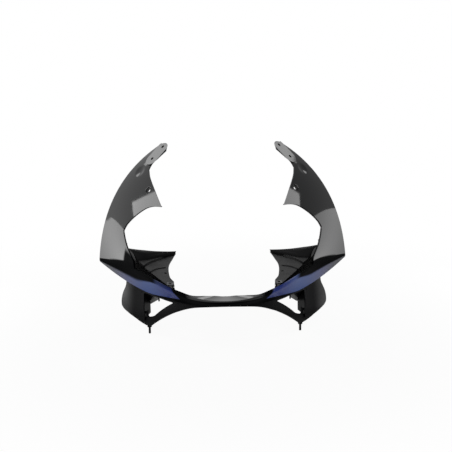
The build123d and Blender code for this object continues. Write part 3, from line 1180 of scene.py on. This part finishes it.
    def window_prism(self) -> bpy.types.Object:
        """Prism along the headlight axis beside and above the mirror pad.

        Returns:
            The new piece.
        """
        spots = [self.screen.at(0.9)]
        spots += [self.pad_edge.at(step / 10) for step in range(11)]
        spots += [self.tip.at(step / 10) for step in range(1, 11)]
        points = [COWL_SKIN.point(*spot) for spot in spots]
        right, up, left = self.prism_margins
        corner = points[-1] + Vector((right, 0.0, 0.0)) + SIGHT_UP * up
        inside = Vector((points[0].x - left - corner.x, 0.0, 0.0))
        points += [corner, corner + inside]
        points.append(points[-1] + SIGHT_UP * (points[0] - points[-1]).dot(SIGHT_UP))
        flat = [point - SIGHT_AXIS * point.dot(SIGHT_AXIS) for point in points]
        depth = SIGHT_AXIS * self.prism_reach
        count = len(flat)
        mesh = bpy.data.meshes.new("window_prism")
        mesh.from_pydata(
            [point - depth for point in flat] + [point + depth for point in flat], [],
            [tuple(range(count)), tuple(range(2 * count - 1, count - 1, -1))]
            + [(k, k + count, (k + 1) % count + count, (k + 1) % count) for k in range(count)])
        prism = bpy.data.objects.new("window_prism", mesh)
        bpy.context.scene.collection.objects.link(prism)
        BENCH.weld(prism)
        return prism

    def bolt_cutters(self) -> list[bpy.types.Object]:
        """Drills for the two bolt holes of the right pad.

        Returns:
            The new pieces.
        """
        plane = self.pad_plane()
        drills = [
            BENCH.cylinder("bolt_drill", self.bolt_hole / 2, 8 * self.pad_depth,
                           shifted(plane, side * self.bolt_spacing / 2, 0, 0))
            for side in (-1, 1)]
        for drill in drills:
            # The walls of the bolt holes take the painted shade
            BENCH.mark(drill, self.painted_shade_mark)
        return drills

    def screen_cup(self) -> bpy.types.Object:
        """Recessed boss round the windscreen screw, turned from its section.

        Returns:
            The new piece.
        """
        lip, floor, foot = 0.15 * MM, -self.screen_recess_depth, -self.screen_boss_depth
        recess, hole, boss = self.screen_recess / 2, self.screen_hole / 2, self.screen_boss / 2
        section = [
            (recess + 0.9 * MM, -0.4 * MM), (recess + 0.5 * MM, lip), (recess, lip * 0.4),
            (recess - 0.7 * MM, floor + 0.3 * MM), (recess - 1.1 * MM, floor), (hole + 0.3 * MM, floor),
            (hole, floor - 0.3 * MM), (hole, foot), (boss - 0.4 * MM, foot), (boss, foot + 0.4 * MM),
            (boss, -self.wall)]

        def place(s: float, t: float) -> Vector:
            """Point of the section, turned about the screw."""
            radius, height = section[round(t * (len(section) - 1))]
            angle = 2 * math.pi * s
            return Vector((radius * math.cos(angle), radius * math.sin(angle), height))

        cup = BENCH.grid("screen_cup", 48, len(section) - 1, place)
        BENCH.weld(cup)
        cup.data.transform(self.screen_plane())
        BENCH.mark(cup, self.gloss_mark)
        return cup

    def posts(self) -> list[bpy.types.Object]:
        """Posts that the screws bite into.

        Returns:
            The new pieces.
        """
        posts = [SCREWS.post_at(SCREWS.panel_place, SCREWS.panel_standoff)]
        posts += [SCREWS.post_at(place, SCREWS.lower_standoff) for place in SCREWS.lower_places]
        for post in posts:
            # The posts take the painted shade
            BENCH.mark(post, self.painted_shade_mark)
        return posts

    def build(self, finish: bpy.types.Material) -> None:
        """Makes and dresses the whole moulding.

        Args:
            finish: Its material.
        """
        shell = self.skin()
        BENCH.wall(shell, self.wall, outward=True)
        drill_radius = self.screen_recess / 2 + self.screen_drill_room
        drill = BENCH.cylinder("screen_drill", drill_radius, 4 * self.screen_boss_depth, self.screen_plane())
        BENCH.mark(drill, self.gloss_mark)
        BENCH.cut(shell, *self.bolt_cutters(), drill)
        BENCH.rims(shell, self.rim)
        cowl = BENCH.join(
            "upper_cowl_shell", shell, self.mirror_pad(), self.screen_cup(), self.flange(), *self.posts())
        BENCH.mirrored(cowl)
        BENCH.smooth(cowl)
        dress(cowl, finish, Slot.PAINT, "upper_cowl")


@dataclass
class LowerCowl:
    """Black moulding: chin, bars round the intakes, cheeks, duct walls, lugs and pegs."""

    wall: float = 2.5 * MM
    rim: float = 0.7 * MM
    chin_end: float = 0.36
    chin_columns: int = 44
    chin_rows: int = 8
    ring_rows: int = 16
    intake_round: float = 0.022
    turn_points: int = 7
    duct_wall: float = 2.2 * MM
    duct_rim: float = 0.5 * MM
    duct_grid: tuple[int, int] = (16, 6)
    duct_corner: Spot = (0.668, 0.15)
    duct_low: Spot = (0.6, 0.73)
    duct_run: tuple[float, float, float] = (-13.0, 48.0, 0.0)
    roof_runs: tuple[tuple[float, float, float], ...] = ((2.5, 48.0, -21.0), (-13.0, 48.0, -44.0))
    peg_place: Spot = (0.57, 0.82)
    peg_diameter: float = 4.5 * MM
    peg_length: float = 20.0 * MM
    collar_diameter: float = 9.0 * MM
    collar_length: float = 13.0 * MM
    peg_rim: float = 0.9 * MM
    hook_place: Spot = (0.535, 0.13)
    hook_size: tuple[float, float, float] = (3.0 * MM, 2.2 * MM, 11.0 * MM)
    hook_back: float = 6.0 * MM
    stub_place: Spot = (0.602, 0.6)
    stub_diameter: float = 6.0 * MM
    stub_length: float = 7.0 * MM
    stub_back: float = 10.0 * MM
    lug_below: float = 16.0 * MM
    lug_above: float = 5.6 * MM

    def __post_init__(self) -> None:
        """Draws the outer line and the intake."""
        self.chin = Outline((0, 0.316), (0.12, 0.32), (0.249, 0.348), (0.375, 0.523))
        start = (self.chin_end, self.chin.across_at(self.chin_end))
        self.strut = Outline(start, (0.375, 0.523), (0.498, 0.76), (0.557, 0.866), straight=True)
        self.belly = Outline((0.557, 0.866), (0.658, 0.697), (0.746, 0.592), straight=True)
        self.cheek = Outline(
            (0.746, 0.592), (0.766, 0.543), (0.786, 0.376), (0.792, 0.206), (0.803, 0.1), (0.806, 0.0))
        self.top = Outline((0.806, 0.0), (self.chin_end, 0.0), straight=True)
        self.intake = [(0.412, 0.2), (0.52, 0.62), (0.588, 0.66), (0.654, 0.165), (0.527, 0.155)]

    def intake_line(self) -> list[Vector]:
        """Intake corners with rounded turns, from its nose round by the bottom.

        Returns:
            Places on the skin.
        """
        corners = [Vector(corner) for corner in self.intake]
        line: list[Vector] = []
        for index, corner in enumerate(corners):
            before, after = corners[index - 1], corners[(index + 1) % len(corners)]
            first = corner + (before - corner).normalized() * self.intake_round
            last = corner + (after - corner).normalized() * self.intake_round
            line += [
                along_curve([first, corner, last], step / (self.turn_points - 1))
                for step in range(self.turn_points)]
        return line

    def skin(self) -> bpy.types.Object:
        """Right half of the skin: the chin and the ring round the intake.

        Returns:
            The new piece.
        """
        chin = BENCH.grid("chin", self.chin_columns, self.chin_rows, lambda s, t: LOWER_SKIN.point(
            s * self.chin_end, t * self.chin.across_at(s * self.chin_end)))
        intake = self.intake_line()
        nose, floor, heel, crown, roof = (
            intake[start:start + self.turn_points] for start in range(0, len(intake), self.turn_points))

        def line(points: Sequence[Vector]) -> Outline:
            """Straight line from point to point."""
            return Outline(*(tuple(point) for point in points), straight=True)

        end = Outline((self.chin_end, 0.0), self.strut.spots[0], straight=True)
        sides = [
            (line(nose), end, self.chin_rows),
            (line([nose[-1], floor[0], floor[3]]), self.strut, 30),
            (line([*floor[3:], *heel[:4]]), self.belly, 26),
            (line([*heel[3:], crown[0], crown[3]]), self.cheek, 40),
            (line([*crown[3:], *roof, nose[0]]), self.top, 52),
        ]
        ring = [
            BENCH.grid(
                f"ring_{index}", columns, self.ring_rows,
                lambda s, t, a=inner, b=outer: LOWER_SKIN.point(*a.at(s).lerp(b.at(s), t)))
            for index, (inner, outer, columns) in enumerate(sides)]
        skin = BENCH.join("lower_cowl_shell", chin, *ring)
        BENCH.weld(skin)
        BENCH.face(skin, SIGHT_AXIS)
        return skin

    def duct(self) -> list[bpy.types.Object]:
        """Outer wall and falling roof behind the intake, with its hook and its round stub.

        Returns:
            The new pieces.
        """
        corner = LOWER_SKIN.point(*self.duct_corner)
        sides = [
            (corner, LOWER_SKIN.point(*self.duct_low), self.duct_run, self.duct_run),
            (LOWER_SKIN.point(*self.hook_place), corner, *self.roof_runs)]
        pieces = []
        for first, second, start, end in sides:
            run, turn = Vector(start) * MM, Vector(end) * MM
            wall = BENCH.grid("duct_wall", *self.duct_grid, lambda s, t, a=first, b=second, c=run, d=turn: (
                a.lerp(b, s) + c.lerp(d, s) * t))
            BENCH.wall(wall, self.duct_wall, outward=True)
            pieces.append(wall)
        hook_top = LOWER_SKIN.point(*self.hook_place) + Vector((0.0, self.hook_back, -self.hook_size[2] / 2))
        pieces.append(BENCH.block("hook", self.hook_size, Matrix.Translation(hook_top)))
        root = LOWER_SKIN.point(*self.stub_place) + Vector((-self.stub_length / 2, self.stub_back, 0.0))
        pieces.append(BENCH.cylinder("stub", self.stub_diameter / 2, self.stub_length, plane_at(
            root, Vector((-1.0, 0.0, 0.0)), UP), sides=28))
        for piece in pieces:
            BENCH.rims(piece, self.duct_rim)
        return pieces

    def peg(self) -> list[bpy.types.Object]:
        """Locating peg with its collar.

        Returns:
            The new pieces.
        """
        inward = -LOWER_SKIN.normal(*self.peg_place)
        root = LOWER_SKIN.point(*self.peg_place) + inward * self.collar_diameter / 2
        pin = BENCH.cylinder("peg", self.peg_diameter / 2, self.peg_length, Matrix.Translation(
            root - UP * self.peg_length / 2), sides=28)
        collar = BENCH.cylinder("peg_collar", self.collar_diameter / 2, self.collar_length,
                                Matrix.Translation(root), sides=36)
        for piece in (pin, collar):
            BENCH.rims(piece, self.peg_rim, segments=3)
        return [pin, collar]

    def lugs(self) -> list[bpy.types.Object]:
        """Lugs that the lower screws hold."""
        planes = [fixing(place, SCREWS.lower_standoff) for place in SCREWS.lower_places]
        return [SCREWS.lug_at(plane, self.lug_below, self.lug_above) for plane in planes]

    def build(self, finish: bpy.types.Material) -> None:
        """Makes and dresses the whole moulding.

        Args:
            finish: Its material.
        """
        shell = self.skin()
        BENCH.wall(shell, self.wall, outward=False)
        BENCH.rims(shell, self.rim)
        cowl = BENCH.join("lower_cowl_shell", shell, *self.duct(), *self.peg(), *self.lugs())
        BENCH.mirrored(cowl)
        BENCH.smooth(cowl)
        dress(cowl, finish, Slot.SATIN, "lower_cowl")


@dataclass
class InnerPanel:
    """Sloping plate behind a spear: floor with a step and a bead, rolled bank, skirt and lug."""

    wall: float = 2.5 * MM
    rim: float = 0.6 * MM
    plate_grid: tuple[int, int] = (110, 130)
    nose_share: float = 0.12
    clip_share: float = 0.16
    turn: float = 0.56
    inset: float = 12.0 * MM
    skirt_inset: float = 3.0 * MM
    skirt_depth: float = 22.0 * MM
    front_shares: tuple[float, ...] = (0.42, 0.5, 0.6, 0.7, 0.8, 0.9)
    skirt_shares: tuple[float, ...] = (0.46, 0.54, 0.62, 0.7, 0.8, 0.87)
    skirt_grid: tuple[int, int] = (44, 6)
    bank_rim: float = 0.9 * MM
    bank_grid: tuple[int, int] = (70, 20)
    step_height: float = 3.0 * MM
    step_edge: Spot = (-0.4 * MM, 1.2 * MM)
    bead_height: float = 1.6 * MM
    bead_width: float = 1.0 * MM
    drill_length: float = 20.0 * MM
    hole: float = 5.0 * MM
    hole_place: Spot = (45.2, 44.8)
    clip_place: Spot = (38.5, 30.5)
    clip_width: float = 12.0 * MM
    clip_length: float = 14.0 * MM
    lug_above: float = 7.0 * MM

    def __post_init__(self) -> None:
        """Sets the plate's plane and draws its relief in plan."""
        front, rear, tip = station(39, 33, 3), station(77.2, 78.1, 16.5), station(37.8, 78.1, 12.5)
        self.origin = front
        self.normal = (rear - front).cross(tip - front).normalized()
        self.run = (rear - tip).normalized()
        self.climb = self.normal.cross(self.run)
        self.step = self.plan(
            (62.5, 49.5), (60, 54), (55.1, 59.7), (47, 65.5), (54, 66.5), (67, 60.5), (67.5, 56))
        bead = Outline(*self.plan((57, 44.5), (52.2, 49.4), (45.5, 52.5)))
        self.bead = [bead.at(share / 12) for share in range(13)]

    @staticmethod
    def plan(*places: Spot) -> list[Vector]:
        """Places in plan, in metres, from percent of half width and depth."""
        return [station(x, y, 0).to_2d() for x, y in places]

    def dropped(self, point: Vector, height: float = 0.0) -> Vector:
        """Point moved straight up or down onto the plate's underside, then off it by a height."""
        gap = (point - self.origin).dot(self.normal)
        return point - UP * (gap / self.normal.z) + self.normal * height

    def over(self, x: float, y: float, height: float = 0.0) -> Vector:
        """Point over the plate's underside, from percent of half width and depth."""
        return self.dropped(station(x, y, 0), height)

    def behind_crease(self, share: float, inset: float) -> Vector:
        """Point of the plate's underside at an inset behind the crease, seen in plan."""
        run = along_curve(CREASE, share + 0.001) - along_curve(CREASE, share - 0.001)
        return self.dropped(along_curve(CREASE, share) + Vector((-run.y, run.x, 0.0)).normalized() * inset)

    def relief(self, point: Vector) -> float:
        """Height of the step and the bead over the plate's floor.

        Args:
            point: A point of the plate.

        Returns:
            The height in metres.
        """
        spot = point.to_2d()
        gap = gap_to(spot, [*self.step, self.step[0]])
        inside = gap if within(spot, self.step) else -gap
        step = self.step_height * smooth_step(*self.step_edge, inside)
        bead = self.bead_height * math.exp(-(gap_to(spot, self.bead) / self.bead_width)**2)
        return max(step, bead)

    def plate(self) -> bpy.types.Object:
        """Floor of the panel with its relief and its two holes.

        Returns:
            The new piece.
        """
        edge = self.over(*self.clip_place)
        fore, aft = edge - self.climb * self.clip_width, edge + self.climb * self.clip_width
        front = Outline(*(self.behind_crease(share, self.inset) for share in self.front_shares))
        tip = self.over(38, 74.6)
        inner = Outline(aft, self.over(41.6, 40), self.over(42.9, 55.1), self.over(40.1, 67.2), tip)
        nose = Outline(fore, front.at(0.0), straight=True)

        def bottom(share: float) -> Vector:
            """Nose of the plate, then the front edge as far as its turn."""
            if share < self.nose_share:
                return nose.at(share / self.nose_share)
            return front.at(self.turn * (share - self.nose_share) / (1 - self.nose_share))

        patch = coons(
            bottom, Outline(tip, front.at(1.0), straight=True).at,
            chain((Outline(fore, aft, straight=True), self.clip_share), (inner, 1.0)),
            lambda share: front.at(self.turn + (1 - self.turn) * share))

        def place(s: float, t: float) -> Vector:
            """Point of the plate's upper face, raised by its relief."""
            point = patch(s, t)
            return point + self.normal * (self.wall + self.relief(point))

        plate = BENCH.grid("plate", *self.plate_grid, place)
        BENCH.face(plate, UP)
        BENCH.wall(plate, self.wall, outward=False, even=False)
        spots = [self.over(*self.hole_place), edge + self.run * self.clip_length / 2]
        for spot in spots:
            plane = plane_at(spot, self.normal, self.run)
            BENCH.cut(plate, BENCH.cylinder("panel_drill", self.hole / 2, self.drill_length, plane, sides=36))
        BENCH.rims(plate, self.rim, angle=55.0)
        return plate

    def bank(self) -> bpy.types.Object:
        """Rolled bank along the back of the plate, low at its tip.

        Returns:
            The new piece.
        """
        heights = [self.wall + height * MM for height in (16.0, 16.0, 10.5, 5.0)]
        foot = [(68.5, 58.6), (62, 56.8), (53, 63.9), (38.4, 72.6)]
        knee = [(71, 61.2), (63, 58), (53, 64.6), (38.2, 72.9)]
        brim = [(75.5, 66), (64.6, 64.4), (50, 67.8), (37.8, 74.4)]
        rows = [[self.over(*spot, self.wall / 3) for spot in foot]]
        rows += [[self.over(*spot, height) for spot, height in zip(row, heights)] for row in (knee, brim)]
        bank = BENCH.grid("bank", *self.bank_grid, lambda s, t: along_curve(
            [along_curve(row, s) for row in rows], t))
        BENCH.face(bank, SIGHT_AXIS)
        BENCH.wall(bank, self.wall, outward=False)
        BENCH.rims(bank, self.bank_rim, segments=3)
        return bank

    def skirt(self) -> bpy.types.Object:
        """Skirt under the front edge.

        Returns:
            The new piece.
        """
        inset = self.inset + self.skirt_inset
        line = Outline(*(self.behind_crease(share, inset) for share in self.skirt_shares))
        skirt = BENCH.grid("skirt", *self.skirt_grid, lambda s, t: line.at(s) + self.normal * (
            self.wall / 2 - self.skirt_depth * t))
        BENCH.face(skirt, SIGHT_AXIS)
        BENCH.wall(skirt, self.wall, outward=False)
        BENCH.rims(skirt, self.rim)
        return skirt

    def lug(self) -> bpy.types.Object:
        """Lug that stands on the plate behind the arm's post.

        Returns:
            The new piece.
        """
        plane = fixing(SCREWS.panel_place, SCREWS.panel_standoff)
        climb = plane.col[1].to_3d()
        foot = (self.wall / 2 - (plane.translation - self.origin).dot(self.normal)) / climb.dot(self.normal)
        return SCREWS.lug_at(plane, -foot, self.lug_above)

    def build(self, finish: bpy.types.Material) -> None:
        """Makes and dresses the right panel and its mirror image.

        Args:
            finish: Their material.
        """
        right = BENCH.join("right_panel_plate", self.plate(), self.bank(), self.skirt(), self.lug())
        BENCH.smooth(right)
        left = BENCH.twin(right, "left_panel_plate")
        dress(right, finish, Slot.MATTE, "right_inner_panel")
        dress(left, finish, Slot.MATTE, "left_inner_panel")


@dataclass(frozen=True)
class Lamp:
    """Soft box of the studio, aimed at a point and rolled about its own axis."""

    name: str
    place: tuple[float, float, float]
    aim: tuple[float, float, float]
    size: tuple[float, float]
    glow: float
    roll: float = 0.0

    def hang(self) -> None:
        """Adds the lamp, with its brightness the same at any size."""
        data = bpy.data.lights.new(self.name, "AREA")
        data.shape = "RECTANGLE"
        data.size, data.size_y = self.size
        data.energy = self.glow * math.pi * self.size[0] * self.size[1]
        lamp = bpy.data.objects.new(self.name, data)
        bpy.context.scene.collection.objects.link(lamp)
        lamp.location = self.place
        aimed = (Vector(self.aim) - Vector(self.place)).to_track_quat("-Z", "Y")
        lamp.rotation_euler = (aimed @ Quaternion((0.0, 0.0, 1.0), math.radians(self.roll))).to_euler()


@dataclass
class Studio:
    """White room with soft boxes and the camera of the photograph."""

    target: tuple[float, float, float] = (0.0053, -0.0095, 0.0331)
    distance: float = 2.0
    azimuth: float = math.radians(-1.2)
    elevation: float = math.radians(14.0)
    roll: float = math.radians(-0.77)
    frame_width: float = 0.898
    sensor: float = 36.0
    room_light: float = 0.4
    right_shade: float = 0.6
    sky_edge: Spot = (0.0, 0.5)
    ground_edge: Spot = (0.2, 0.6)
    floor_size: float = 14.0
    floor_gap: float = 0.5 * MM
    floor_colour: Colour = (0.9, 0.9, 0.9, 1.0)
    floor_white: float = 0.93
    floor_fade: Spot = (0.3, 0.85)
    lamps: tuple[Lamp, ...] = (
        Lamp("left_low_box", (-0.6385, 0.204, -0.048), (-0.2365, 0.029, -0.02), (0.215, 0.25), 2.3),
        Lamp(
            "right_low_box", (0.6283, 0.2242, -0.0558), (0.2263, 0.0492, -0.0318), (0.40, 0.365), 1.55, -31.7),
        Lamp(
            "left_horn_box", (-0.8398, 0.0308, 0.4692), (-0.1656, -0.0497, 0.0466), (0.306, 0.49), 4.5, -36.1),
        Lamp(
            "right_horn_box", (0.801, -0.0114, 0.5392), (0.1268, -0.0919, 0.1166), (0.308, 0.335), 3.8, 28.8),
        Lamp("left_pad_box", (-0.741, 0.681, 0.731), (-0.1327, 0.1265, 0.1596), (0.22, 0.22), 2.2),
        Lamp("right_pad_box", (0.741, 0.681, 0.731), (0.1327, 0.1265, 0.1596), (0.22, 0.22), 2.3),
        Lamp("ledge_box", (0.0, 0.83, 0.65), (0.0, -0.14, -0.07), (0.3, 0.2), 2.0),
    )

    def background(self, board: Board) -> Signal:
        """One for rays from the camera, reflections and glass.

        Args:
            board: Board of the world or the floor.

        Returns:
            The mask.
        """
        rays = board.node("ShaderNodeLightPath")
        camera, gloss, glass = (
            Signal(board, rays.outputs[f"Is {kind} Ray"]) for kind in ("Camera", "Glossy", "Transmission"))
        return camera.most(gloss).most(glass)

    def white(self, board: Board, edge: Spot) -> Signal:
        """White that reflections see dimmed past an edge on the right side."""
        gloss = board.signal("ShaderNodeLightPath", output="Is Glossy Ray")
        return 1 - gloss * board.axis(board.place(), "X").step(*edge) * self.right_shade

    def world(self) -> None:
        """White surround that lights the part at a plain level."""
        world = bpy.data.worlds.new("white_room")
        bpy.context.scene.world = world
        world.use_nodes = True
        board = Board(world.node_tree)
        light = board.signal("ShaderNodeBackground", None, {"Color": WHITE, "Strength": self.room_light})
        seen = board.signal("ShaderNodeBackground", None, {
            "Color": self.white(board, self.sky_edge), "Strength": 1.0})
        board.finish(board.mix(self.background(board), light, seen), "ShaderNodeOutputWorld")

    def floor(self) -> None:
        """Pale floor under the pegs, which keeps the shadow and fades into the surround."""
        bpy.ops.object.select_all(action="DESELECT")
        bpy.ops.mesh.primitive_grid_add(x_subdivisions=4, y_subdivisions=4, size=self.floor_size)
        floor = BENCH.added("floor")
        floor.location.z = CAD_BOX[0][2] - self.floor_gap
        made, board = material("floor_white")
        matt = board.signal("ShaderNodeBsdfDiffuse", None, {"Color": self.floor_colour})
        seen = board.signal("ShaderNodeEmission", None, {
            "Color": self.white(board, self.ground_edge), "Strength": 1.0})
        reach = board.signal("ShaderNodeVectorMath", {"operation": "LENGTH"}, {0: board.place()}, "Value")
        share = self.floor_white + reach.step(*self.floor_fade) * (1 - self.floor_white)
        board.finish(board.mix(self.background(board) * share, matt, seen))
        floor.data.materials.append(made)

    def camera(self) -> None:
        """Camera at the photograph's angle."""
        data = bpy.data.cameras.new("camera")
        data.sensor_width = self.sensor
        data.lens = self.sensor * self.distance / self.frame_width
        camera = bpy.data.objects.new("camera", data)
        bpy.context.scene.collection.objects.link(camera)
        back = Vector((
            math.sin(self.azimuth) * math.cos(self.elevation),
            -math.cos(self.azimuth) * math.cos(self.elevation),
            math.sin(self.elevation)))
        camera.location = Vector(self.target) + back * self.distance
        aimed = (-back).to_track_quat("-Z", "Y")
        camera.rotation_euler = (aimed @ Quaternion((0.0, 0.0, 1.0), self.roll)).to_euler()
        bpy.context.scene.camera = camera

    def build(self) -> None:
        """Sets the whole studio."""
        self.world()
        self.floor()
        for lamp in self.lamps:
            lamp.hang()
        self.camera()
        bpy.context.scene.view_settings.view_transform = "Standard"


def main() -> None:
    """Builds the pieces in order."""
    logging.basicConfig(level=logging.INFO, format="%(message)s")
    paint = SpearPaint().make()
    # The satin plastic takes a painted highlight on its outer sides
    satin = MouldedBlack(
        "satin_plastic", (0.003, 0.0031, 0.0036, 1.0), roughness=0.36, specular=0.03, grain=1500.0,
        depth=0.00004, painted_highlight_coat=0.7).make()
    matte = MouldedBlack(
        "matte_plastic", (0.0032, 0.0032, 0.0036, 1.0), roughness=0.36, specular=0.10, grain=1100.0,
        depth=0.00005).make()
    clip = BareMetal("black_zinc", (0.045, 0.045, 0.048, 1.0), roughness=0.34).make()
    screw = BareMetal("black_oxide", (0.09, 0.09, 0.095, 1.0), roughness=0.36).make()

    UpperCowl().build(paint)
    LowerCowl().build(satin)
    InnerPanel().build(matte)
    for name, finish in {"clip_nuts": clip, "panel_screws": screw, "lower_screws": screw}.items():
        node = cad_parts[name]
        node.data.materials.clear()
        node.data.materials.append(finish)
        LOG.info("%s: kept", name)
    Studio().build()


if __name__ == "__main__":
    main()
